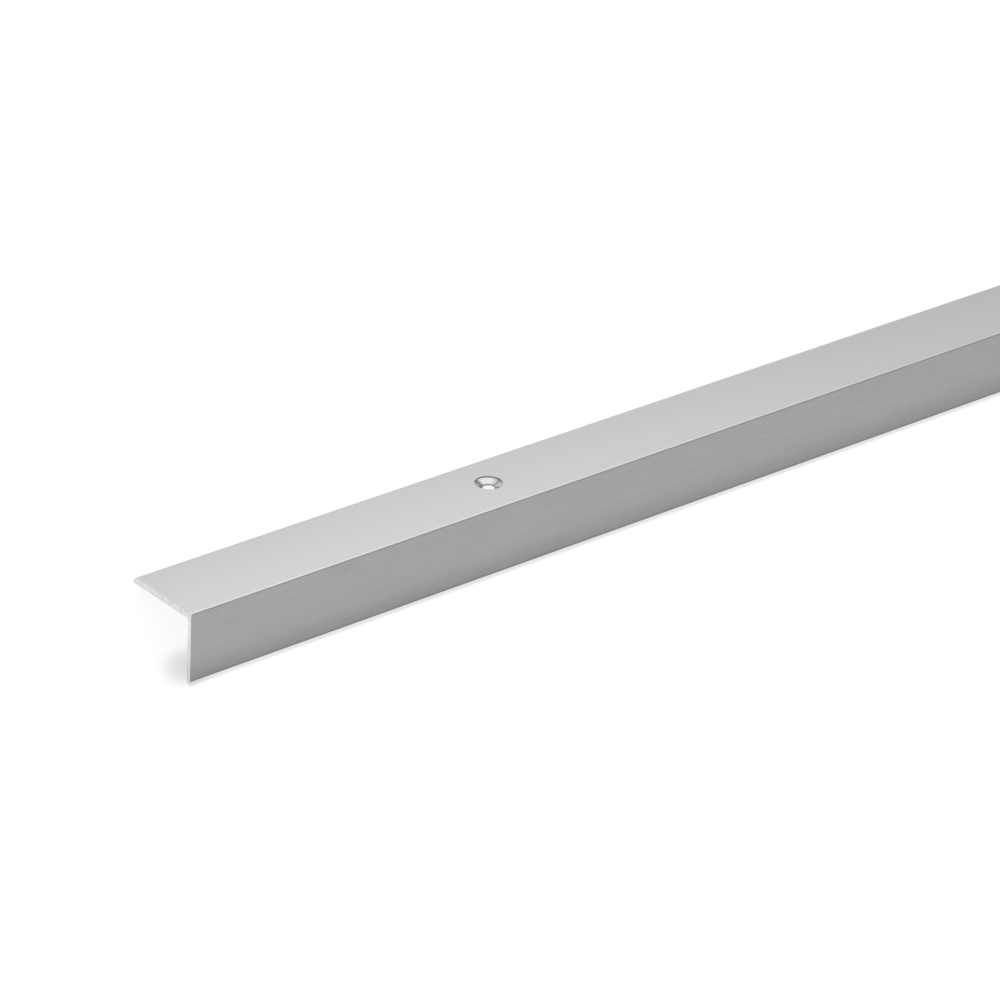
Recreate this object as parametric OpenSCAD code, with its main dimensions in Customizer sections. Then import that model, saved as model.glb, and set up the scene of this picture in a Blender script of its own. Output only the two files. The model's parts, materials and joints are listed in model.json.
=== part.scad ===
// Stainless steel edge trim: one length of unequal angle with countersunk screw holes in its flange.
//
// The section is drawn as the trim is fitted, flange level and leg hanging down, with the front
// face at 0 and the leg's free end at height 0. Unfitted, the trim can't stand on its thin leg:
// it leans over until the leg and the rear of the flange both touch the floor, and it is stored
// like that, outer corner up. The origin is on the floor, under the middle of the trim.

/* [Section] */
// Width of the flange, from the front face to its rear edge
flange_w = 25; // [20:0.5:60]
// Height of the leg, from its free end to the top face
leg_h = 20; // [8:0.5:60]
// Thickness of the flange
flange_t = 1.7; // [1.2:0.1:4]
// Thickness of the leg
leg_t = 1.4; // [0.8:0.1:3]

/* [Edges] */
// Radius of the outer corner, where the top face meets the front face
corner_r = 0.2; // [0.1:0.05:0.8]
// Height of the flat left on the rear edge, under the round that rolls the top face over
rear_flat = 0.2; // [0.2:0.05:0.8]
// Radius of the fillet inside the angle
fillet_r = 0.5; // [0.1:0.1:3]
// Radius of the broken edges at the leg's free end and under the flange's rear edge
edge_r = 0.15; // [0.05:0.05:0.2]

/* [Length] */
// Length that the trim is sold in
length = 1000; // [250:10:3000]

/* [Screw holes] */
// Distance of the first hole from the near end, and the least distance of the last from the far end
hole_end = 110; // [20:5:120]
// Distance from one hole to the next
hole_pitch = 260; // [50:5:600]
// Distance of the line of holes from the front face
hole_setback = 12.8; // [9:0.1:13]
// Diameter of the hole that the screw's shank passes
shank_d = 3.4; // [3:0.1:5]
// Diameter of the countersink's rim in the top face
sink_d = 7.8; // [6:0.1:10]
// Height of the short straight wall between the rim and the countersink's cone
rim_t = 0.3; // [0.1:0.05:0.4]
// Height of the straight wall left below the cone, for the shank
land_t = 0.3; // [0.2:0.05:0.6]

/* [Hidden] */
$fn = 96;
steel = [0.76, 0.76, 0.75];
// How far a cutting shape runs past the faces that it cuts
over = 1;

// Height of the flange's underside
flange_z = leg_h - flange_t;
// The round on the rear edge takes what its flat leaves of the flange
rear_r = flange_t - rear_flat;

// Holes are set out from the near end, as many as the length holds
hole_gaps = floor((length - 2 * hole_end) / hole_pitch);

// The lean brings the leg's inner end edge and the flange's rear lower edge down to one level
lean = atan2(flange_z, flange_w - leg_t);
floor_z = edge_r * cos(lean) - (leg_t - edge_r) * sin(lean) - edge_r;
// How far the leaning section reaches in front and behind
front_y = edge_r * (cos(lean) + sin(lean)) - edge_r;
rear_y = (flange_w - rear_r) * cos(lean) + (leg_h - rear_r) * sin(lean) + rear_r;

// What a round of radius r takes off a square corner at the origin, in the +x +y quarter
module corner_waste(r) {
    difference() {
        translate([-over, -over]) square(r + over);
        translate([r, r]) circle(r);
    }
}

// What a fillet of radius r fills in a corner at the origin, in the +x +y quarter
module fillet_web(r) {
    root = min(leg_t, flange_t) / 2;
    difference() {
        translate([-root, -root]) square(r + root);
        translate([r, r]) circle(r);
    }
}

// The angle's section: x is the distance from the front face, y is height
module section() {
    difference() {
        union() {
            translate([0, flange_z]) square([flange_w, flange_t]);
            square([leg_t, leg_h]);
            translate([leg_t, flange_z]) mirror([0, 1]) fillet_web(fillet_r);
        }
        // outer corner, rear round and rear lower edge of the flange
        translate([0, leg_h]) mirror([0, 1]) corner_waste(corner_r);
        translate([flange_w, leg_h]) rotate(180) corner_waste(rear_r);
        translate([flange_w, flange_z]) mirror([1, 0]) corner_waste(edge_r);
        // both edges of the leg's free end
        corner_waste(edge_r);
        translate([leg_t, 0]) mirror([1, 0]) corner_waste(edge_r);
    }
}

// One countersunk screw hole on the z axis, with the flange's underside at z = 0
module screw_hole() {
    translate([0, 0, -over]) cylinder(d = shank_d, h = over + flange_t);
    translate([0, 0, land_t]) cylinder(d1 = shank_d, d2 = sink_d, h = flange_t - rim_t - land_t);
    translate([0, 0, flange_t - rim_t]) cylinder(d = sink_d, h = rim_t + over);
}

// The trim as it is fitted, with its near end at x = 0
module fitted_trim() {
    difference() {
        rotate([90, 0, 90]) linear_extrude(length) section();
        for (i = [0 : hole_gaps])
            translate([hole_end + i * hole_pitch, hole_setback, flange_z]) screw_hole();
    }
}

// The trim as it lies on a floor
module edge_trim() {
    color(steel)
        translate([-length / 2, -(front_y + rear_y) / 2, -floor_z])
            rotate([-lean, 0, 0])
                fitted_trim();
}

edge_trim();
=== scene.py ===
"""Looks of one length of stainless steel edge trim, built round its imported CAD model.

The trim is an unequal angle: a wide flange with countersunk screw holes and a
narrower leg. It lies as it comes to rest, with its outer corner up, so its
section is turned about X by the lean. Sizes are in millimetres until the
trim's tree brings it to metres and to its place.
"""

import json
import logging
import math
from dataclasses import dataclass, field
from enum import Enum
from typing import Any, ClassVar

import bmesh
import bpy
from mathutils import Matrix, Vector


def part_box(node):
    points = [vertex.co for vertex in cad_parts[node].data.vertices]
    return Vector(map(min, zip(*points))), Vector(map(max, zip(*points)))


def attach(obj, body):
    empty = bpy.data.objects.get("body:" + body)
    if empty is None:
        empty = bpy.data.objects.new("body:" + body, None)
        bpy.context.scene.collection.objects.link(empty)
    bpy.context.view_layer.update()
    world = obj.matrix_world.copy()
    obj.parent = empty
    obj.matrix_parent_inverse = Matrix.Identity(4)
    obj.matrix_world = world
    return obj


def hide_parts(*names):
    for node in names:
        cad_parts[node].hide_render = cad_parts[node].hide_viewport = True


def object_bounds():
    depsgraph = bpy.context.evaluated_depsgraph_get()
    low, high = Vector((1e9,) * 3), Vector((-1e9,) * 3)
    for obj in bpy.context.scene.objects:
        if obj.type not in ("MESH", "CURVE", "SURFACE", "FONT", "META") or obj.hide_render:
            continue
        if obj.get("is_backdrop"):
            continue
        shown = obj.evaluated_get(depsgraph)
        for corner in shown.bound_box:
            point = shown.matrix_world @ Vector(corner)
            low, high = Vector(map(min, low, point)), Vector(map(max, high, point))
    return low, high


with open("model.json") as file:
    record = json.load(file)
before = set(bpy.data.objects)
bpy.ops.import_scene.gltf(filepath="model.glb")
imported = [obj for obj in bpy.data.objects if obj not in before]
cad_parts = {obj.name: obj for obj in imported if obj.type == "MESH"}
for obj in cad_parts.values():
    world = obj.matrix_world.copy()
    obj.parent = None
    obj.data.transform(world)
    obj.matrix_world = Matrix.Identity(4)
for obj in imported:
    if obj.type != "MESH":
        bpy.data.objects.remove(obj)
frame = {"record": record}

log = logging.getLogger("edge_trim")

Socket = bpy.types.NodeSocket
Pair = tuple[float, float]
Triple = tuple[float, float, float]
Stops = tuple[Pair, ...]

MM = 0.001
BODY = "root"
CAD_NODE = "edge_trim"
PIECE = "edge_trim_dressed"
LEVEL_TONE: Stops = ((0.0, 1.0), (1.0, 1.0))


class Zone(Enum):
    """The parts of the surface that are finished alike."""

    INSIDE = 0
    FLANGE_TOP = 1
    LEG_FRONT = 2
    OUTER_CORNER = 3
    SAWN_END = 4
    COUNTERSINK = 5


@dataclass
class NodeBench:
    """Adds nodes to one tree and joins them up.

    Attributes:
        tree: a Geometry Nodes or shader tree.
    """

    tree: bpy.types.NodeTree

    def add(self, kind: str, feeds: dict[Any, Any] | None = None, **settings: Any) -> bpy.types.Node:
        """Adds one node.

        Args:
            kind: the node's type name.
            feeds: input name or index, and the socket to link or the value to set.
            settings: the node's own properties.

        Returns:
            The new node.
        """
        node = self.tree.nodes.new(kind)
        for name, value in settings.items():
            setattr(node, name, value)
        for key, value in (feeds or {}).items():
            if isinstance(value, Socket):
                self.tree.links.new(value, node.inputs[key])
            else:
                node.inputs[key].default_value = value
        return node

    def out(self, kind: str, feeds: dict[Any, Any] | None = None, **settings: Any) -> Socket:
        """Adds one node and returns its first output."""
        return self.add(kind, feeds, **settings).outputs[0]

    def math(self, operation: str, first: Any, second: Any = 0.0) -> Socket:
        """Returns the result of a Math node on two sockets or numbers."""
        return self.out("ShaderNodeMath", {0: first, 1: second}, operation=operation)

    def plus(self, first: Any, second: Any) -> Socket:
        """Returns the sum of two sockets or numbers."""
        return self.math("ADD", first, second)

    def minus(self, first: Any, second: Any) -> Socket:
        """Returns the first number less the second."""
        return self.math("SUBTRACT", first, second)

    def times(self, first: Any, second: Any) -> Socket:
        """Returns the product of two sockets or numbers."""
        return self.math("MULTIPLY", first, second)

    def ramp(self, value: Any, low: float, high: float, out_low: float, out_high: float) -> Socket:
        """Returns a value mapped from the range low to high onto out_low to out_high, clamped."""
        feeds = {"Value": value, "From Min": low, "From Max": high}
        return self.out("ShaderNodeMapRange", feeds | {"To Min": out_low, "To Max": out_high})

    def curve(self, value: Any, stops: Stops) -> Socket:
        """Looks a value up on a line through given stops, level outside them.

        Args:
            value: the socket to look up.
            stops: pairs of a value, from 0 up, and the result there.

        Returns:
            The result's socket.
        """
        reach = stops[-1][0]
        share = self.math("DIVIDE", value, reach)
        ramp = self.add("ShaderNodeValToRGB", {"Fac": share})
        elements = ramp.color_ramp.elements
        while len(elements) < len(stops):
            elements.new(0.5)
        for element, (at, result) in zip(elements, stops):
            element.position = at / reach
            element.color = (result, result, result, 1.0)
        return ramp.outputs["Color"]

    def noise(self, place: Socket, detail: float, roughness: float = 0.5) -> Socket:
        """Returns a noise from 0 to 1 whose marks are about 1 wide in the given places."""
        feeds = {"Vector": place, "Scale": 1.0, "Detail": detail, "Roughness": roughness}
        return self.add("ShaderNodeTexNoise", feeds).outputs["Fac"]

    def pick(self, index: Socket, values: tuple[Socket, ...]) -> Socket:
        """Picks one of several values by an index.

        Args:
            index: the index's socket.
            values: a socket for each index.

        Returns:
            The picked value.
        """
        switch = self.add("GeometryNodeIndexSwitch", {"Index": index}, data_type="FLOAT")
        while len(switch.index_switch_items) < len(values):
            switch.index_switch_items.new()
        for i, value in enumerate(values):
            self.tree.links.new(value, switch.inputs[i + 1])
        return switch.outputs[0]

    def span(self, x: Any, y: Any) -> Socket:
        """Returns the length of a flat vector."""
        flat = self.vector(x, y, 0.0)
        return self.add("ShaderNodeVectorMath", {0: flat}, operation="LENGTH").outputs["Value"]

    def vector(self, x: Any, y: Any, z: Any) -> Socket:
        """Returns a vector made of three numbers or sockets."""
        return self.out("ShaderNodeCombineXYZ", {0: x, 1: y, 2: z})

    def parts(self, vector: Socket) -> tuple[Socket, ...]:
        """Returns the three parts of a vector."""
        return tuple(self.add("ShaderNodeSeparateXYZ", {0: vector}).outputs)

    def both(self, first: Socket, second: Socket) -> Socket:
        """Returns a test that is true where both tests are."""
        return self.out("FunctionNodeBooleanMath", {0: first, 1: second}, operation="AND")

    def less(self, first: Any, second: Any) -> Socket:
        """Returns a test that is true where the first number is less than the second."""
        return self.out("FunctionNodeCompare", {0: first, 1: second}, operation="LESS_THAN")


class Surface(NodeBench):
    """A steel material's nodes, with places on the trim in its own fitted frame."""

    def __init__(self, tree: bpy.types.NodeTree, lean: float) -> None:
        """Adds the places, in millimetres, x along the trim, y across the flange, z up the leg.

        Args:
            tree: the material's tree.
            lean: how far the trim leans, radians.
        """
        super().__init__(tree)
        coords = self.add("ShaderNodeTexCoord").outputs["Object"]
        feeds = {"Vector": coords, "Rotation": (lean, 0.0, 0.0), "Scale": (1 / MM, 1 / MM, 1 / MM)}
        self.place = self.out("ShaderNodeMapping", feeds)


def own_nodes(owner: bpy.types.Material | bpy.types.World) -> bpy.types.NodeTree:
    """Gives a material or world an empty tree of its own.

    Args:
        owner: the material or world.

    Returns:
        Its tree.
    """
    owner.use_nodes = True
    owner.node_tree.nodes.clear()
    return owner.node_tree


def in_scene(name: str, data: bpy.types.ID) -> bpy.types.Object:
    """Makes an object and links it to the scene.

    Args:
        name: its name.
        data: its mesh, light or camera.

    Returns:
        The object.
    """
    made = bpy.data.objects.new(name, data)
    bpy.context.scene.collection.objects.link(made)
    return made


@dataclass(frozen=True)
class Grain:
    """One layer of fine streaks in a finish.

    Attributes:
        along: length of a streak, mm.
        across: width of a streak, mm.
        tone: how far it changes the colour, as a share.
        rough: how far it changes the roughness.
        height: how far it stands up, mm.
        detail: octaves of the noise.
        seed: shift of the pattern, so that layers differ.
        sparse: how much of each mark is left out, so that only the strongest show.
        high: size of a mark up the leg where it isn't the same as across, mm.
    """

    along: float
    across: float
    tone: float
    rough: float
    height: float
    detail: float = 2.0
    seed: float = 0.0
    sparse: float = 0.0
    high: float = 0.0


@dataclass(frozen=True)
class SteelFinish:
    """A worked steel surface: plain metal with layers of grain.

    Attributes:
        name: name of the material.
        grey: how light the metal is.
        roughness: mean roughness.
        grains: layers of streaks or blotches.
    """

    name: str
    grey: float
    roughness: float
    grains: tuple[Grain, ...]

    MARKS: ClassVar[float] = 0.6  # how rough the grain's noise is
    SHIFT: ClassVar[Triple] = (1.0, 1.7, 2.3)  # how far a seed moves the grain on each axis

    def layer(self, face: Surface, grain: Grain) -> Socket:
        """Makes one layer of grain.

        Args:
            face: the material's nodes.
            grain: the layer.

        Returns:
            A number round 0, mostly within -0.5 and 0.5.
        """
        scale = (1 / grain.along, 1 / grain.across, 1 / (grain.high or grain.across))
        shift = tuple(grain.seed * step for step in self.SHIFT)
        feeds = {"Vector": face.place, "Scale": scale, "Location": shift}
        stretched = face.out("ShaderNodeMapping", feeds)
        value = face.minus(face.noise(stretched, grain.detail, self.MARKS), 0.5)
        if not grain.sparse:
            return value
        feeds = {"Value": value, "Min": -grain.sparse, "Max": grain.sparse}
        return face.minus(value, face.out("ShaderNodeClamp", feeds))

    def shade(self, face: Surface, tone: Any) -> Any:
        """Lets a finish paint light and shade into the tone over the surface; a plain one leaves it."""
        return tone

    def relief(self, face: Surface, height: Any) -> Any:
        """Lets a finish add relief of its own to the grain's; a plain one adds none."""
        return height

    def material(self, lean: float) -> bpy.types.Material:
        """Makes the finish's material.

        Args:
            lean: how far the trim leans, radians.

        Returns:
            The material.
        """
        mat = bpy.data.materials.new(self.name)
        face = Surface(own_nodes(mat), lean)
        tone: Any = 1.0
        rough: Any = self.roughness
        height: Any = 0.0
        for grain in self.grains:
            value = self.layer(face, grain)
            tone = face.plus(tone, face.times(value, grain.tone))
            if grain.rough:
                rough = face.plus(rough, face.times(value, grain.rough))
            if grain.height:
                height = face.plus(height, face.times(value, grain.height * MM))
        tone = self.shade(face, tone)
        height = self.relief(face, height)
        feeds = {0: (self.grey, self.grey, self.grey), "Scale": tone}
        colour = face.out("ShaderNodeVectorMath", feeds, operation="SCALE")
        feeds = {"Base Color": colour, "Metallic": 1.0, "Roughness": rough}
        if isinstance(height, Socket):
            raised = {"Strength": 1.0, "Distance": 1.0, "Height": height}
            feeds["Normal"] = face.out("ShaderNodeBump", raised)
        steel = face.out("ShaderNodeBsdfPrincipled", feeds)
        face.add("ShaderNodeOutputMaterial", {"Surface": steel})
        return mat


@dataclass(frozen=True)
class PaintedLightFinish(SteelFinish):
    """A face whose tone changes towards its edges, as painted light: painted highlights and painted
    shade.

    Attributes:
        axis: which of the fitted frame's axes the tone follows, 1 across the flange, 2 up the leg.
        start: where on that axis the tone's stops begin, in the material's own places, mm.
        stops: distance from the start, mm, and the tone there, as painted light and shade.
    """

    axis: int = 1
    start: float = 0.0
    stops: Stops = LEVEL_TONE

    def shade(self, face: Surface, tone: Any) -> Any:
        """Paints light and shade into the tone by the distance from the start."""
        away = face.minus(face.parts(face.place)[self.axis], self.start)
        return face.times(tone, face.curve(away, self.stops))


@dataclass(frozen=True)
class TurnedSink(SteelFinish):
    """The turned countersinks, finely ringed, with painted shade darker towards the rim and the bore.

    Attributes:
        first: the first hole's place along the trim, in the material's own places, mm.
        pitch: distance from hole to hole, mm.
        row: the holes' place across the flange, in the material's own places, mm.
        stops: distance from a hole's axis, mm, and the painted shade's tone there.
        ring: distance from one turned ring to the next, mm.
        ring_height: how far a ring stands up, mm.
    """

    first: float = 0.0
    pitch: float = 1.0
    row: float = 0.0
    stops: Stops = LEVEL_TONE
    ring: float = 0.12
    ring_height: float = 0.004

    def from_axis(self, face: Surface) -> Socket:
        """Measures the distance from the nearest hole's axis.

        Args:
            face: the material's nodes.

        Returns:
            The distance's socket, mm.
        """
        x, y, _ = face.parts(face.place)
        half = self.pitch / 2
        from_first = face.minus(x, self.first - half)
        along = face.minus(face.math("FLOORED_MODULO", from_first, self.pitch), half)
        return face.span(along, face.minus(y, self.row))

    def shade(self, face: Surface, tone: Any) -> Any:
        """Paints shade into the tone by the distance from the nearest hole's axis, all round alike."""
        return face.times(tone, face.curve(self.from_axis(face), self.stops))

    def relief(self, face: Surface, height: Any) -> Any:
        """Adds the rings that the cutter left round each hole's axis, in metres like the rest."""
        turn = face.times(self.from_axis(face), 2 * math.pi / self.ring)
        return face.plus(height, face.times(face.math("SINE", turn), self.ring_height * MM / 2))


@dataclass(frozen=True)
class Chips:
    """Where the saw broke small chips out of an end's upper edge.

    Attributes:
        seeds: shift of the pattern at the near and the far end.
        scale: how close the chips lie across and up, 1/mm.
        low: strength of the noise where a chip begins.
        high: strength of the noise where a chip is full.
        detail: octaves of the noise.
    """

    seeds: Pair = (3.0, 11.0)
    scale: Pair = (0.62, 0.08)
    low: float = 0.44
    high: float = 0.62
    detail: float = 1.5

    def share(self, bench: NodeBench, seed: Any, y: Any, z: Any) -> Socket:
        """Tells how much of a chip there is at a place of the end, from 0 to 1.

        Args:
            bench: the bench of a Geometry Nodes or shader tree.
            seed: the end's seed.
            y: the place across, mm.
            z: the place up, mm.

        Returns:
            The share's socket.
        """
        across, up = (bench.times(part, scale) for part, scale in zip((y, z), self.scale))
        noise = bench.noise(bench.vector(seed, across, up), self.detail)
        return bench.ramp(noise, self.low, self.high, 0.0, 1.0)


@dataclass(frozen=True)
class SawnFinish(PaintedLightFinish):
    """The sawn ends, with painted light up their height and a painted highlight where chips broke out
    under the upper edge.

    Attributes:
        chips: where the chips are.
        zero: the fitted frame's origin, in the material's own places, mm.
        length: the trim's length, mm.
        upper: the height where the chips' painted highlight begins and where it is full, mm.
        chip_tone: the tone of a full chip's painted highlight.
        change: how far each side of the middle the near end's chips turn into the far end's, mm.
    """

    chips: Chips = Chips()
    zero: Triple = (0.0, 0.0, 0.0)
    length: float = 1.0
    upper: Pair = (18.6, 19.2)
    chip_tone: float = 1.14
    change: float = 1.0

    def shade(self, face: Surface, tone: Any) -> Any:
        """Paints light and shade into the tone by the height, and paints a highlight on the chips.

        Args:
            face: the material's nodes.
            tone: the tone so far.

        Returns:
            The tone's socket.
        """
        tone = super().shade(face, tone)
        x, y, z = (face.minus(part, at) for part, at in zip(face.parts(face.place), self.zero))
        middle = self.length / 2
        seed = face.ramp(x, middle - self.change, middle + self.change, *self.chips.seeds)
        chip = face.times(self.chips.share(face, seed, y, z), face.ramp(z, *self.upper, 0.0, 1.0))
        return face.times(tone, face.ramp(chip, 0.0, 1.0, 1.0, self.chip_tone))


@dataclass
class AngleSection:
    """The unequal angle's section, in mm: y runs back from the front face, z up from the leg's end.

    Attributes:
        flange_w: width of the flange.
        leg_h: height of the leg.
        flange_t: thickness of the flange.
        leg_t: thickness of the leg.
        corner_r: radius of the outer corner.
        rear_flat: height of the flat under the round of the flange's rear edge.
        fillet_r: radius of the inner corner.
        edge_r: radius of the small edges.
        arc_steps: straight pieces in each arc.
    """

    flange_w: float = 25.0
    leg_h: float = 20.0
    flange_t: float = 1.7
    leg_t: float = 1.4
    corner_r: float = 0.2
    rear_flat: float = 0.2
    fillet_r: float = 0.5
    edge_r: float = 0.15
    arc_steps: int = 10

    @property
    def flange_z(self) -> float:
        """Height of the flange's underside."""
        return self.leg_h - self.flange_t

    @property
    def rear_r(self) -> float:
        """Radius of the round on the flange's rear edge."""
        return self.flange_t - self.rear_flat

    def arc(self, y: float, z: float, radius: float, start: float, end: float) -> list[Pair]:
        """Gives the points of one arc.

        Args:
            y: the centre's place across.
            z: the centre's height.
            radius: the arc's radius.
            start: its first angle, degrees.
            end: its last angle, degrees.

        Returns:
            Its points in order.
        """
        steps = range(self.arc_steps + 1)
        turns = [math.radians(start + (end - start) * i / self.arc_steps) for i in steps]
        return [(y + radius * math.cos(t), z + radius * math.sin(t)) for t in turns]

    def outline(self) -> list[Pair]:
        """Gives the section's outline.

        Returns:
            Its points, anticlockwise with y to the right and z up.
        """
        edge, inner, rear = self.edge_r, self.fillet_r, self.rear_r
        return [
            *self.arc(edge, edge, edge, 180, 270),
            *self.arc(self.leg_t - edge, edge, edge, 270, 360),
            *self.arc(self.leg_t + inner, self.flange_z - inner, inner, 180, 90),
            *self.arc(self.flange_w - edge, self.flange_z + edge, edge, 270, 360),
            *self.arc(self.flange_w - rear, self.leg_h - rear, rear, 0, 90),
            *self.arc(self.corner_r, self.leg_h - self.corner_r, self.corner_r, 90, 180),
        ]

    def mesh(self) -> bpy.types.Mesh:
        """Makes the section's mesh.

        Returns:
            One flat face at x = 0 that faces +X.
        """
        data = bpy.data.meshes.new("section")
        points = [(0.0, y, z) for y, z in self.outline()]
        data.from_pydata(points, [], [list(range(len(points)))])
        return data


@dataclass
class ScrewHoles:
    """The countersunk holes in the flange, in mm, all alike and evenly spaced.

    Attributes:
        first: the first hole's place along the trim.
        pitch: distance from hole to hole.
        count: how many there are.
        setback: distance of their row from the leg's front face.
        shank_d: diameter of the bore.
        sink_d: diameter of the countersink at its rim.
        rim_t: height of the straight wall at the rim.
        land_t: height of the straight wall of the bore.
        clear: how far the drill stands out above and below the flange.
        facets: sides of the drill.
    """

    first: float
    pitch: float
    count: int
    setback: float = 12.8
    shank_d: float = 3.4
    sink_d: float = 7.8
    rim_t: float = 0.3
    land_t: float = 0.3
    clear: float = 1.0
    facets: int = 128


@dataclass
class SawCut:
    """What the saw leaves on both ends: fine lines, shallow waves and a ragged upper edge.

    Attributes:
        depth: greatest depth of the lines and waves, mm.
        line_pitch: width of a line, mm.
        line_long: a line's width as a share of its length.
        line_share: how deep the lines are beside the waves.
        wave_pitch: width of a wave, mm.
        wave_long: a wave's width as a share of its length.
        level: brings the lines and waves together to about 1.
        chip_width: greatest height of a chip, mm.
        chip_depth: greatest depth of a chip, mm.
        chip_least: how much of a chip there is everywhere along the edge.
        cell: size of the cut surface's cells across and up, mm.
        thick: thickness of the block that cuts, mm.
        margin: how much wider and higher than the section the block is, mm.
        chips: where the chips are.
    """

    depth: float = 0.05
    line_pitch: float = 0.22
    line_long: float = 0.12
    line_share: float = 0.6
    wave_pitch: float = 2.4
    wave_long: float = 0.5
    level: float = 0.6
    chip_width: float = 1.0
    chip_depth: float = 0.22
    chip_least: float = 0.05
    cell: Pair = (0.2, 0.15)
    thick: float = 6.0
    margin: float = 4.0
    chips: Chips = Chips()


@dataclass(frozen=True)
class ZoneLimits:
    """Where one zone of the surface gives way to another, by a face's normal and place.

    Attributes:
        up: least upward part of the normal on the flange's top and the corner.
        front: greatest backward part of the normal on the leg's front.
        level: greatest upward part of the normal in a countersink.
        rim: how far past its rim a countersink reaches, mm.
        end: how far from the end's plane a sawn face may lie, mm.
        along: least part of a sawn face's normal along the trim.
    """

    up: float = 0.03
    front: float = -0.2
    level: float = 0.97
    rim: float = 0.05
    end: float = 1.0
    along: float = 0.2


class Placement:
    """Where the trim's own fitted frame stands in the row's frame."""

    def __init__(self, section: AngleSection) -> None:
        """Works out the lean from a screw hole's axis and the shift from the CAD box.

        Args:
            section: the trim's section.
        """
        bores = [mount for mount in frame["record"]["mounts"] if mount["kind"] == "bore"]
        self.holes = sorted(bore["pos_m"][0] for bore in bores)
        axis = bores[0]["axis"]
        self.lean = math.atan2(axis[1], axis[2])
        self.low, self.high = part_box(CAD_NODE)
        self.turn = Matrix.Rotation(-self.lean, 3, "X")
        turned = [self.turn @ Vector((0.0, y, z)) for y, z in section.outline()]
        low_y = min(p.y for p in turned) * MM
        low_z = min(p.z for p in turned) * MM
        self.shift = Vector((self.low.x, self.low.y - low_y, self.low.z - low_z))
        self.length = (self.high.x - self.low.x) / MM

    def point(self, x: float, y: float, z: float) -> Vector:
        """Gives a place of the fitted frame, in mm, as a place in the row's frame, in metres."""
        return self.turn @ (Vector((x, y, z)) * MM) + self.shift

    def direction(self, x: float, y: float, z: float) -> Vector:
        """Turns a direction of the fitted frame into the row's frame."""
        return self.turn @ Vector((x, y, z))


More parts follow.
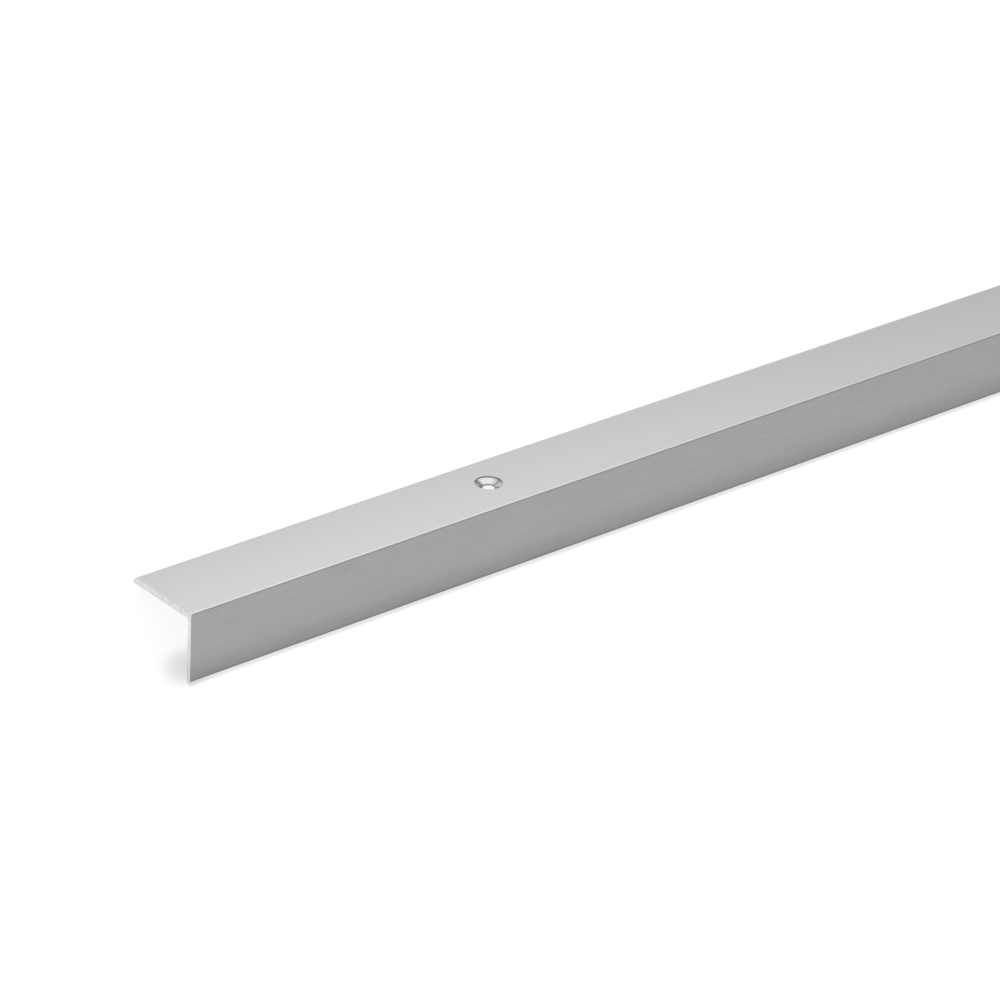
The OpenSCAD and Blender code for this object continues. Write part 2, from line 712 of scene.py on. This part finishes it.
@dataclass
class EdgeTrim:
    """The whole trim, one piece of stock.

    Attributes:
        section: its section.
        holes: its screw holes.
        saw: how its ends are cut.
        spot: where it stands.
        limits: where its finishes give way to each other.
        seam: corners of the drawn bar nearer than this become one, mm.
        merge: corners of the finished mesh nearer than this become one, mm.
        flat_within: how near to a flat of the section a face counts as flat, degrees.
        sharp_from: the angle between two faces from which their edge stays sharp, degrees.
    """

    section: AngleSection
    holes: ScrewHoles
    saw: SawCut
    spot: Placement
    limits: ZoneLimits = ZoneLimits()
    seam: float = 0.001
    merge: float = 0.006
    flat_within: float = 0.5
    sharp_from: float = 28.0

    def finishes(self) -> dict[Zone, SteelFinish]:
        """Gives each zone its finish.

        Returns:
            The finish of each zone.
        """
        zero = Matrix.Rotation(self.spot.lean, 3, "X") @ self.spot.shift / MM
        return {
            Zone.INSIDE: SteelFinish(
                "mill_inside", 0.60, 0.42,
                (Grain(30, 0.8, 0.10, 0.10, 0.004, 3, 1), Grain(9, 9, 0.10, 0.08, 0.0, 3, 2)),
            ),
            # Painted light on the flange top: a painted highlight along the front edge, and painted
            # shade that deepens towards the rear and on the rear round.
            Zone.FLANGE_TOP: PaintedLightFinish(
                "satin_flange_painted_light", 0.65, 0.40,
                (
                    Grain(14, 0.22, 0.05, 0.05, 0.0015, 2, 3),
                    Grain(40, 5, 0.035, 0.03, 0.0, 2, 4),
                ),
                axis=1,
                start=zero.y,
                stops=(
                    (0.0, 1.11), (0.60, 1.11), (0.85, 0.955), (8.0, 0.945), (16.0, 0.91),
                    (23.0, 0.885), (24.0, 0.85), (24.5, 0.78), (25.0, 0.68),
                ),
            ),
            # Painted shade on the leg's front: darker towards the foot, and a dark line just under the
            # outer corner; the brushed streaks are real grain.
            Zone.LEG_FRONT: PaintedLightFinish(
                "brushed_leg_painted_shade", 0.625, 0.42,
                (
                    Grain(3.4, 0.30, 0.80, 0.0, 0.0, 1, 5, sparse=0.14),
                    Grain(6, 0.35, 0.10, 0.08, 0.002, 2, 6),
                    Grain(14, 2.4, 0.10, 0.04, 0.0, 2, 7),
                    Grain(60, 6, 0.06, 0.03, 0.0, 2, 13),
                ),
                axis=2,
                start=zero.z,
                stops=(
                    (0.0, 0.42), (0.4, 0.62), (1.0, 0.75), (4.0, 0.87), (6.0, 0.94),
                    (9.0, 1.0), (12.0, 1.015), (19.35, 1.03), (19.65, 0.93), (20.0, 0.88),
                ),
            ),
            # Painted highlight on the outer corner: a lighter grey, and a tone dark on the front's side
            # of the round and bright on the top's side; its lower roughness is real.
            Zone.OUTER_CORNER: PaintedLightFinish(
                "polished_corner_painted_highlight", 0.74, 0.30,
                (Grain(4, 0.5, 0.12, 0.08, 0.0, 2, 8), Grain(40, 40, 0.10, 0.05, 0.0, 2, 9)),
                axis=1,
                start=zero.y,
                stops=((0.0, 0.70), (0.13, 0.72), (0.17, 1.0), (0.2, 1.06)),
            ),
            # Painted light on the sawn ends: the tone changes up their height, and the chips carry a
            # painted highlight.
            Zone.SAWN_END: SawnFinish(
                "sawn_end_painted_light", 0.80, 0.38,
                (
                    Grain(0.5, 0.60, 0.75, 0.12, 0.004, 3, 10, high=1.5),
                    Grain(2.5, 1.6, 0.34, 0.08, 0.0, 2, 11, high=4.0),
                ),
                axis=2,
                start=zero.z,
                stops=(
                    (0.0, 0.95), (3.0, 1.02), (12.0, 1.0), (17.0, 1.06), (18.3, 0.925), (20.0, 0.895),
                ),
                chips=self.saw.chips,
                zero=tuple(zero),
                length=self.spot.length,
            ),
            # Painted shade in the countersinks: darker towards the rim and towards the bore; the turned
            # rings are real bumps.
            Zone.COUNTERSINK: TurnedSink(
                "turned_sink_painted_shade", 0.56, 0.22,
                (Grain(0.5, 0.5, 0.08, 0.08, 0.0015, 2, 12),),
                first=zero.x + self.holes.first,
                pitch=self.holes.pitch,
                row=zero.y + self.holes.setback,
                stops=(
                    (1.6, 0.45), (1.75, 0.60), (2.0, 0.94), (2.4, 1.0),
                    (3.2, 1.0), (3.75, 0.78), (4.0, 0.68),
                ),
            ),
        }

    def soften(self, data: bpy.types.Mesh) -> None:
        """Merges slivers, shades the rounds smooth and keeps the flats flat.

        Args:
            data: the trim's mesh in place.
        """
        axes = list(self.spot.turn.col)
        work = bmesh.new()
        work.from_mesh(data)
        bmesh.ops.remove_doubles(work, verts=work.verts[:], dist=self.merge * MM)
        bmesh.ops.dissolve_degenerate(work, edges=work.edges[:], dist=self.merge * MM)
        bmesh.ops.triangulate(work, faces=work.faces[:], quad_method="BEAUTY", ngon_method="BEAUTY")
        near = math.cos(math.radians(self.flat_within))
        flat = {face: max(abs(face.normal.dot(axis)) for axis in axes) > near for face in work.faces}
        for face in work.faces:
            face.smooth = True
        for edge in work.edges:
            pair = edge.link_faces
            apart = len(pair) != 2 or edge.calc_face_angle() > math.radians(self.sharp_from)
            edge.smooth = not (apart or flat[pair[0]] != flat[pair[1]])
        work.to_mesh(data)
        work.free()

    def build(self) -> bpy.types.Object:
        """Builds the trim and parents it to its body's empty.

        Returns:
            The finished piece.
        """
        nodes = TrimTree(self)
        blank = in_scene("trim_blank", self.section.mesh())
        modifier = blank.modifiers.new("trim", "NODES")
        modifier.node_group = nodes.tree
        for identifier, value in nodes.values.items():
            modifier[identifier] = value
        graph = bpy.context.evaluated_depsgraph_get()
        data = bpy.data.meshes.new_from_object(blank.evaluated_get(graph), depsgraph=graph)
        bpy.data.objects.remove(blank)
        data.name = PIECE
        for index in reversed(range(len(data.materials))):
            if data.materials[index] is None:
                data.materials.pop(index=index)
        self.soften(data)
        piece = in_scene(PIECE, data)
        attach(piece, BODY)
        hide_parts(CAD_NODE)
        names = [material.name for material in data.materials]
        log.info("%s: %d faces, materials %s", piece.name, len(data.polygons), names)
        return piece


class TrimTree(NodeBench):
    """The trim's Geometry Nodes tree, from the section to the finished faces."""

    def __init__(self, trim: EdgeTrim) -> None:
        """Makes the tree with its named inputs and fills it.

        Args:
            trim: the trim that it builds.
        """
        super().__init__(bpy.data.node_groups.new("edge_trim_tree", "GeometryNodeTree"))
        self.trim = trim
        self.values = self.sockets()
        self.get = self.add("NodeGroupInput").outputs
        self.add("NodeGroupOutput", {0: self.dress(self.cut(self.bar()))})

    def sockets(self) -> dict[str, Any]:
        """Adds the tree's named inputs and its output.

        Returns:
            Each input's identifier, with the value to set.
        """
        section, holes, saw, spot = self.trim.section, self.trim.holes, self.trim.saw, self.trim.spot
        numbers = {
            "Length": spot.length,
            "Leg Height": section.leg_h,
            "Flange Thickness": section.flange_t,
            "Corner Radius": section.corner_r,
            "First Hole": holes.first,
            "Hole Pitch": holes.pitch,
            "Hole Setback": holes.setback,
            "Shank Radius": holes.shank_d / 2,
            "Sink Radius": holes.sink_d / 2,
            "Rim Thickness": holes.rim_t,
            "Land Thickness": holes.land_t,
            "Saw Depth": saw.depth,
            "Chip Depth": saw.chip_depth,
            "Chip Width": saw.chip_width,
            "Lean": spot.lean,
        }
        rows = [(name, "Float", value) for name, value in numbers.items()]
        rows += [("Hole Count", "Int", holes.count), ("Shift", "Vector", tuple(spot.shift))]
        for zone, finish in self.trim.finishes().items():
            rows.append((f"Material {zone.name}", "Material", finish.material(spot.lean)))
        face = self.tree.interface
        face.new_socket("Geometry", in_out="INPUT", socket_type="NodeSocketGeometry")
        values: dict[str, Any] = {}
        for name, kind, value in rows:
            socket = face.new_socket(name, in_out="INPUT", socket_type=f"NodeSocket{kind}")
            values[socket.identifier] = value
        face.new_socket("Geometry", in_out="OUTPUT", socket_type="NodeSocketGeometry")
        return values

    def bar(self) -> Socket:
        """Draws the section out to a solid bar of the full length.

        Returns:
            The bar's mesh.
        """
        section = self.get["Geometry"]
        feeds = {
            "Mesh": section,
            "Offset": self.vector(self.get["Length"], 0.0, 0.0),
            "Offset Scale": 1.0,
            "Individual": False,
        }
        drawn = self.add("GeometryNodeExtrudeMesh", feeds, mode="FACES").outputs["Mesh"]
        back = self.out("GeometryNodeFlipFaces", {"Mesh": section})
        joined = self.add("GeometryNodeJoinGeometry", {"Geometry": drawn})
        self.tree.links.new(back, joined.inputs[0])
        feeds = {"Geometry": joined.outputs[0], "Distance": self.trim.seam}
        return self.out("GeometryNodeMergeByDistance", feeds)

    def drills(self) -> Socket:
        """Turns one countersinking drill and sets a copy at each hole.

        Returns:
            The drills' mesh.
        """
        get, holes = self.get, self.trim.holes
        top = get["Leg Height"]
        underside = self.minus(top, get["Flange Thickness"])
        levels = (
            self.minus(underside, holes.clear),
            self.plus(underside, get["Land Thickness"]),
            self.minus(top, get["Rim Thickness"]),
            self.plus(top, holes.clear),
        )
        radii = (get["Shank Radius"], get["Shank Radius"], get["Sink Radius"], get["Sink Radius"])
        index = self.out("GeometryNodeInputIndex")
        rod = self.out("GeometryNodeMeshLine", {"Count": len(levels)})
        spots = self.vector(0.0, 0.0, self.pick(index, levels))
        bent = self.out("GeometryNodeSetPosition", {"Geometry": rod, "Position": spots})
        ring = self.out("GeometryNodeCurvePrimitiveCircle", {"Resolution": holes.facets, "Radius": 1.0})
        feeds = {
            "Curve": self.out("GeometryNodeMeshToCurve", {"Mesh": bent}),
            "Profile Curve": ring,
            "Scale": self.pick(index, radii),
            "Fill Caps": True,
        }
        drill = self.out("GeometryNodeCurveToMesh", feeds)
        feeds = {
            "Count": get["Hole Count"],
            "Start Location": self.vector(get["First Hole"], get["Hole Setback"], 0.0),
            "Offset": self.vector(get["Hole Pitch"], 0.0, 0.0),
        }
        row = self.out("GeometryNodeMeshLine", feeds)
        copies = self.out("GeometryNodeInstanceOnPoints", {"Points": row, "Instance": drill})
        return self.out("GeometryNodeRealizeInstances", {"Geometry": copies})

    def marks(self, place: Socket, pitch: float, long: float, detail: float) -> Socket:
        """Returns a saw's upright marks, from 0 to 1, each pitch wide and pitch / long high, mm."""
        feeds = {0: place, 1: (1.0, 1 / pitch, long / pitch)}
        return self.noise(self.out("ShaderNodeVectorMath", feeds, operation="MULTIPLY"), detail)

    def saw_block(self, end: Any, inward: float, seed: float) -> Socket:
        """Makes a block whose inner side is a sawn surface, to cut one end with.

        Args:
            end: the end's x.
            inward: 1 where the trim lies at larger x, -1 where at smaller.
            seed: shift of the saw's pattern.

        Returns:
            The block's mesh.
        """
        get, saw, section = self.get, self.trim.saw, self.trim.section
        # Half a cell more on each side keeps the grid's lines off the trim's own faces.
        size_y = section.flange_w + saw.margin + saw.cell[0]
        size_z = section.leg_h + saw.margin
        feeds = {
            "Size": (saw.thick, size_y, size_z),
            "Vertices X": 2,
            "Vertices Y": round(size_y / saw.cell[0]) + 1,
            "Vertices Z": round(size_z / saw.cell[1]) + 1,
        }
        block = self.out("GeometryNodeMeshCube", feeds)
        back = self.minus(end, inward * saw.thick / 2)
        centre = self.vector(back, section.flange_w / 2, section.leg_h / 2)
        placed = self.out("GeometryNodeTransform", {"Geometry": block, "Translation": centre})
        x, y, z = self.parts(self.out("GeometryNodeInputPosition"))
        inner = self.less(self.math("ABSOLUTE", self.minus(x, end)), saw.thick / 2)
        flat = self.vector(seed, y, z)
        lines = self.marks(flat, saw.line_pitch, saw.line_long, 2.0)
        waves = self.marks(flat, saw.wave_pitch, saw.wave_long, 1.0)
        depth = self.times(self.plus(self.times(lines, saw.line_share), waves), saw.level)
        depth = self.times(depth, get["Saw Depth"])
        chips = self.ramp(saw.chips.share(self, seed, y, z), 0.0, 1.0, saw.chip_least, 1.0)
        below = self.minus(get["Leg Height"], z)
        near = self.minus(1.0, self.math("DIVIDE", below, self.times(get["Chip Width"], chips)))
        chipped = self.times(self.ramp(near, 0.0, 1.0, 0.0, 1.0), get["Chip Depth"])
        offset = self.times(self.plus(depth, self.times(chipped, chips)), inward)
        feeds = {"Geometry": placed, "Selection": inner, "Offset": self.vector(offset, 0.0, 0.0)}
        return self.out("GeometryNodeSetPosition", feeds)

    def cut(self, body: Socket) -> Socket:
        """Drills the holes and saws both ends.

        Args:
            body: the bar's mesh.

        Returns:
            The cut bar's mesh.
        """
        ends = ((0.0, 1.0), (self.get["Length"], -1.0))
        tools = [self.drills()]
        for (end, inward), seed in zip(ends, self.trim.saw.chips.seeds):
            tools.append(self.saw_block(end, inward, seed))
        how = {"operation": "DIFFERENCE", "solver": "EXACT"}
        for tool in tools:
            body = self.out("GeometryNodeMeshBoolean", {"Mesh 1": body, "Mesh 2": tool}, **how)
        return body

    def zone_number(self) -> Socket:
        """Tells which zone each face belongs to, from its normal and place in the fitted frame.

        Returns:
            The zone's number.
        """
        get, at = self.get, self.trim.limits
        x, y, _ = self.parts(self.out("GeometryNodeInputPosition"))
        nx, ny, nz = self.parts(self.out("GeometryNodeInputNormal"))
        faces_up = self.less(at.up, nz)
        from_row = self.math("ABSOLUTE", self.minus(y, get["Hole Setback"]))
        in_end = self.math("MINIMUM", x, self.minus(get["Length"], x))
        tests = {
            Zone.FLANGE_TOP: faces_up,
            Zone.LEG_FRONT: self.less(ny, at.front),
            Zone.OUTER_CORNER: self.both(self.less(y, get["Corner Radius"]), faces_up),
            Zone.COUNTERSINK: self.both(
                self.less(from_row, self.plus(get["Sink Radius"], at.rim)),
                self.less(self.math("ABSOLUTE", nz), at.level),
            ),
            Zone.SAWN_END: self.both(
                self.less(in_end, at.end),
                self.less(at.along, self.math("ABSOLUTE", nx)),
            ),
        }
        number: Any = Zone.INSIDE.value
        for zone, test in tests.items():
            feeds = {"Switch": test, "False": number, "True": zone.value}
            number = self.out("GeometryNodeSwitch", feeds, input_type="INT")
        return number

    def dress(self, body: Socket) -> Socket:
        """Brings the trim to its place and gives each face its zone's finish.

        Args:
            body: the cut bar's mesh, in the fitted frame.

        Returns:
            The finished mesh.
        """
        feeds = {"Geometry": body, "Name": "zone", "Value": self.zone_number()}
        zoned = self.out("GeometryNodeStoreNamedAttribute", feeds, data_type="INT", domain="FACE")
        feeds = {
            "Geometry": zoned,
            "Translation": self.get["Shift"],
            "Rotation": self.vector(self.times(self.get["Lean"], -1.0), 0.0, 0.0),
            "Scale": (MM, MM, MM),
        }
        placed = self.out("GeometryNodeTransform", feeds)
        last = self.out("GeometryNodeRealizeInstances", {"Geometry": placed})
        zone = self.out("GeometryNodeInputNamedAttribute", {"Name": "zone"}, data_type="INT")
        for choice in Zone:
            feeds = {2: zone, 3: choice.value}
            here = self.out("FunctionNodeCompare", feeds, data_type="INT", operation="EQUAL")
            material = self.get[f"Material {choice.name}"]
            feeds = {"Geometry": last, "Selection": here, "Material": material}
            last = self.out("GeometryNodeSetMaterial", feeds)
        return last


@dataclass(frozen=True)
class PaintedContactShadow:
    """A painted shadow: a soft grey painted into the floor where the trim stands close to it.

    Attributes:
        middle: its middle, x and y, m.
        half: half the length of its straight core along x, m.
        reach: how far it spreads along x and across, m.
        depth: how much of white it takes at its core.
        power: how sharply it ends.
    """

    middle: Pair
    half: float
    reach: Pair
    depth: float
    power: float

    def share(self, bench: NodeBench, place: Socket) -> Socket:
        """Gives what the painted shadow takes of white at each place of the floor.

        Args:
            bench: the floor material's bench.
            place: places on the floor, m.

        Returns:
            The share's socket.
        """
        x, y, _ = bench.parts(place)
        away = bench.math("ABSOLUTE", bench.minus(x, self.middle[0]))
        past = bench.math("MAXIMUM", bench.minus(away, self.half), 0.0)
        aside = bench.math("DIVIDE", past, self.reach[0])
        across = bench.math("DIVIDE", bench.minus(y, self.middle[1]), self.reach[1])
        fall = bench.math("POWER", bench.span(aside, across), self.power)
        return bench.times(bench.math("EXPONENT", bench.times(fall, -1.0)), self.depth)


@dataclass(frozen=True)
class Lamp:
    """One soft lamp.

    Attributes:
        name: its name.
        place: where it hangs, m.
        aim: the place that it faces, m.
        width: its width, m.
        height: its height, m.
        bright: what it shows in a mirror, 1 being white.
    """

    name: str
    place: Vector
    aim: Vector
    width: float
    height: float
    bright: float

    def hang(self) -> None:
        """Hangs the lamp in the scene, unseen by the camera."""
        light = bpy.data.lights.new(self.name, "AREA")
        light.shape = "RECTANGLE"
        light.size, light.size_y = self.width, self.height
        light.energy = self.bright * math.pi * self.width * self.height
        lamp = in_scene(self.name, light)
        lamp.location = self.place
        lamp.rotation_euler = (self.aim - self.place).to_track_quat("-Z", "Y").to_euler()
        lamp.visible_camera = False


@dataclass
class Studio:
    """A plain pale floor, the room round it, and the lamps.

    Attributes:
        floor_half: half the floor's side, m.
        floor_glow: what the floor shows by itself, 1 being white.
        floor_colour: its colour for the light it throws back.
        room_in_metal: what the room round the floor shows in the metal.
        lamps: the soft lamps.
        shades: the painted shadows on the floor close to the trim.
    """

    floor_half: float = 4.0
    floor_glow: float = 0.90
    floor_colour: float = 0.11
    room_in_metal: float = 0.42
    lamps: list[Lamp] = field(default_factory=list)
    shades: list[PaintedContactShadow] = field(default_factory=list)

    def floor(self) -> bpy.types.Object:
        """Lays the floor at the level the trim stands on.

        Returns:
            The floor.
        """
        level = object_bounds()[0].z
        half = self.floor_half
        data = bpy.data.meshes.new("floor")
        corners = [(x * half, y * half, level) for x, y in ((-1, -1), (1, -1), (1, 1), (-1, 1))]
        data.from_pydata(corners, [], [(0, 1, 2, 3)])
        data.materials.append(self.floor_material())
        floor = in_scene("floor", data)
        floor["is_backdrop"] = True
        return floor

    def floor_material(self) -> bpy.types.Material:
        """Makes pale paper that shows nearly white by itself, keeps soft shadows, and has painted
        shadows taken off its glow close to the trim.

        Returns:
            The material.
        """
        mat = bpy.data.materials.new("white_floor")
        bench = NodeBench(own_nodes(mat))
        path = bench.add("ShaderNodeLightPath").outputs
        mirrored = bench.math("MAXIMUM", path["Is Glossy Ray"], path["Is Transmission Ray"])
        seen = bench.math("MAXIMUM", path["Is Camera Ray"], mirrored)
        place = bench.add("ShaderNodeTexCoord").outputs["Object"]
        glow: Any = self.floor_glow
        for shade in self.shades:
            # Each painted shadow is taken off the floor's glow.
            glow = bench.minus(glow, shade.share(bench, place))
        feeds = {"Color": (1, 1, 1, 1), "Strength": bench.times(seen, glow)}
        shine = bench.out("ShaderNodeEmission", feeds)
        tone = self.floor_colour
        paper = bench.out("ShaderNodeBsdfDiffuse", {"Color": (tone, tone, tone, 1)})
        both = bench.out("ShaderNodeAddShader", {0: shine, 1: paper})
        bench.add("ShaderNodeOutputMaterial", {"Surface": both})
        return mat

    def world(self) -> None:
        """Makes the room round the floor: white to the camera, dimmer in the metal."""
        world = bpy.data.worlds.new("studio")
        bench = NodeBench(own_nodes(world))
        path = bench.add("ShaderNodeLightPath").outputs
        tone = bench.ramp(path["Is Glossy Ray"], 0.0, 1.0, 1.0, self.room_in_metal)
        feeds = {"Color": bench.vector(tone, tone, tone), "Strength": 1.0}
        bench.add("ShaderNodeOutputWorld", {"Surface": bench.out("ShaderNodeBackground", feeds)})
        bpy.context.scene.world = world

    def build(self) -> None:
        """Sets up the floor, the room and the lamps."""
        self.floor()
        self.world()
        for lamp in self.lamps:
            lamp.hang()
        log.info("studio: floor and %d lamps", len(self.lamps))


@dataclass
class ViewCamera:
    """The camera, set by its place and turn in the trim's fitted frame.

    Attributes:
        place: where it stands, mm.
        heading: its direction from +Y towards +X, degrees.
        dip: how far it looks down, degrees.
        roll: how far it is turned about its own line of sight, degrees.
        lens: focal length, mm.
        sensor: width of the sensor, mm.
    """

    place: Triple = (-624.0, -823.4, 595.1)
    heading: float = 41.446
    dip: float = 27.541
    roll: float = 3.097
    lens: float = 166.04
    sensor: float = 36.0

    def build(self, spot: Placement) -> bpy.types.Object:
        """Sets the camera up, turned with the trim.

        Args:
            spot: where the trim stands.

        Returns:
            The camera.
        """
        heading, dip, roll = (math.radians(angle) for angle in (self.heading, self.dip, self.roll))
        flat = math.cos(dip)
        view = (math.sin(heading) * flat, math.cos(heading) * flat, -math.sin(dip))
        back = -spot.direction(*view).normalized()
        level = spot.direction(math.cos(heading), -math.sin(heading), 0.0).normalized()
        right = math.cos(roll) * level + math.sin(roll) * back.cross(level)
        up = back.cross(right)
        data = bpy.data.cameras.new("view")
        data.lens, data.sensor_width, data.sensor_fit = self.lens, self.sensor, "HORIZONTAL"
        camera = in_scene("view", data)
        turn = Matrix((right, up, back)).transposed().to_4x4()
        camera.matrix_world = Matrix.Translation(spot.point(*self.place)) @ turn
        bpy.context.scene.camera = camera
        return camera


def painted_contact_shadows(spot: Placement) -> list[PaintedContactShadow]:
    """Gives the painted shadows on the floor along the foot and at both of its ends.

    Args:
        spot: where the trim stands.

    Returns:
        The shades.
    """
    low, high = spot.low, spot.high
    middle, half = (low.x + high.x) / 2, (high.x - low.x) / 2
    shades = [PaintedContactShadow((middle, low.y), half, reach=(0.0003, 0.00082), depth=0.19, power=5.0)]
    inset, behind = 0.002, 0.0045
    for x in (low.x + inset, high.x - inset):
        end = (x, low.y + behind)
        shades.append(PaintedContactShadow(end, 0.0, reach=(0.0068, 0.0048), depth=0.238, power=3.5))
    return shades


def soft_lamps(top: Vector) -> list[Lamp]:
    """Gives the lamps that the steel mirrors, all behind the trim.

    Args:
        top: the middle of the flange's top, beside the first hole.

    Returns:
        The lamps.
    """
    direction, distance = Vector((0.27, 0.67, 0.69)), 1.2
    above = top + direction * distance
    back, back_aim = Vector((0.32, 1.4, 0.25)), Vector((0.32, 0.0, 0.25))
    left, left_aim = Vector((-0.44, 1.32, 0.47)), Vector((-0.39, 0.0, 0.015))
    return [
        Lamp("overhead_lamp", above, top, width=1.34, height=0.75, bright=1.1),
        Lamp("back_lamp", back, back_aim, width=0.85, height=0.5, bright=0.95),
        Lamp("left_lamp", left, left_aim, width=0.29, height=0.32, bright=1.1),
    ]


def main() -> None:
    """Builds the trim, the studio and the camera."""
    logging.basicConfig(level=logging.INFO, format="%(name)s: %(message)s")
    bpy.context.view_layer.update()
    section = AngleSection()
    spot = Placement(section)
    first = (spot.holes[0] - spot.low.x) / MM
    pitch = (spot.holes[1] - spot.holes[0]) / MM
    holes = ScrewHoles(first=first, pitch=pitch, count=len(spot.holes))
    EdgeTrim(section, holes, SawCut(), spot).build()
    top = spot.point(first, section.flange_w / 2, section.leg_h)
    Studio(lamps=soft_lamps(top), shades=painted_contact_shadows(spot)).build()
    ViewCamera().build(spot)
    bpy.context.scene.view_settings.view_transform = "Standard"


if __name__ == "__main__":
    main()
